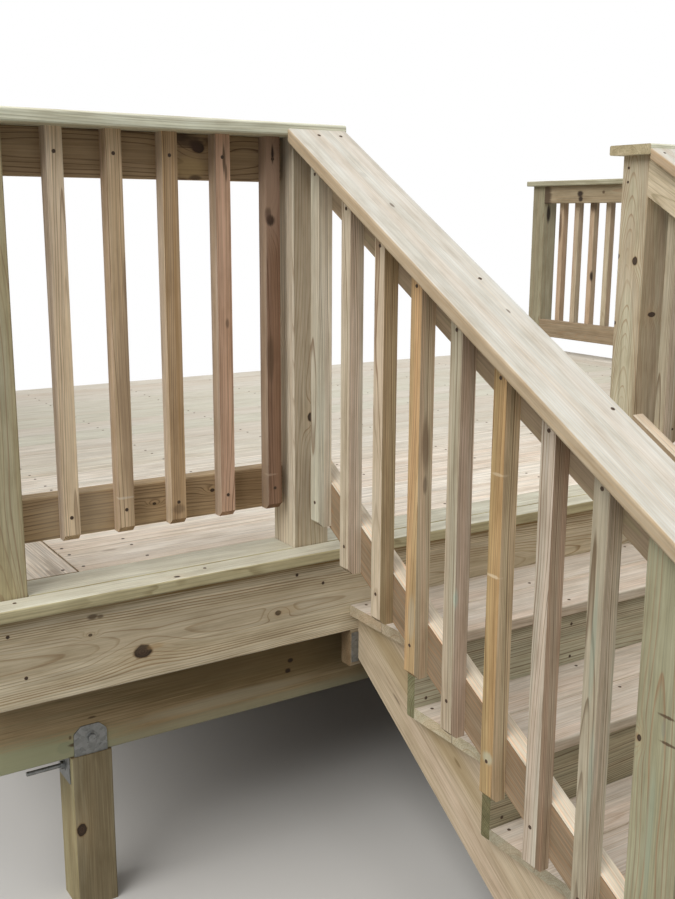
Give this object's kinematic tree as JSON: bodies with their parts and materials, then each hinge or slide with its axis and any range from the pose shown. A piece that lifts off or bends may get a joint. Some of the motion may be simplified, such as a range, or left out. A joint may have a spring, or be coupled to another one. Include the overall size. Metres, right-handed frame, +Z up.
{
  "type": "wooden deck stairs",
  "caption": "Low timber platform with baluster railings and a short straight flight of stairs with its own sloped railings.",
  "frame": {"origin": "centre of the footprint box, on the ground the posts stand on", "axes": "+X along the front edge of the platform to the right, +Y from the foot of the flight towards the house side, +Z up"},
  "size_m": [3.7926, 3.5788, 1.652],
  "materials": {
    "framing_wood": "planed pressure-treated pine, matt",
    "deck_board_wood": "planed pressure-treated pine boards, pale green and pink, matt",
    "baluster_wood": "planed pine squares, some reddish, matt",
    "cap_wood": "planed pine boards, pale yellow green, matt",
    "galvanised_steel": "dull galvanised"
  },
  "bodies": {
    "root": {"front_rim": "framing_wood", "back_rim": "framing_wood", "left_rim": "framing_wood", "right_rim": "framing_wood", "joists": "framing_wood", "front_beam": "framing_wood", "back_beam": "framing_wood", "front_beam_posts": "framing_wood", "back_beam_posts": "framing_wood", "front_edge_boards": "deck_board_wood", "field_boards": "deck_board_wood", "left_border_boards": "deck_board_wood", "right_border_boards": "deck_board_wood", "left_corner_post": "framing_wood", "left_stair_post": "framing_wood", "right_stair_post": "framing_wood", "right_corner_post": "framing_wood", "left_end_post": "framing_wood", "right_end_post": "framing_wood", "left_foot_post": "framing_wood", "right_foot_post": "framing_wood", "front_left_top_rail": "framing_wood", "front_left_bottom_rail": "framing_wood", "front_right_top_rail": "framing_wood", "front_right_bottom_rail": "framing_wood", "front_left_balusters": "baluster_wood", "front_right_balusters": "baluster_wood", "front_left_cap": "cap_wood", "front_right_cap": "cap_wood", "side_left_top_rail": "framing_wood", "side_left_bottom_rail": "framing_wood", "side_left_balusters": "baluster_wood", "side_left_cap": "cap_wood", "side_right_top_rail": "framing_wood", "side_right_bottom_rail": "framing_wood", "side_right_balusters": "baluster_wood", "side_right_cap": "cap_wood", "stair_left_top_rail": "framing_wood", "stair_left_bottom_rail": "framing_wood", "stair_left_balusters": "baluster_wood", "stair_left_cap": "cap_wood", "stair_right_top_rail": "framing_wood", "stair_right_bottom_rail": "framing_wood", "stair_right_balusters": "baluster_wood", "stair_right_cap": "cap_wood", "left_stringer": "framing_wood", "middle_stringer": "framing_wood", "right_stringer": "framing_wood", "tread_1": "deck_board_wood", "tread_2": "deck_board_wood", "tread_3": "deck_board_wood", "tread_4": "deck_board_wood", "risers": "framing_wood", "hanger_board": "framing_wood", "beam_brackets": "galvanised_steel"}
  },
  "joints": []
}
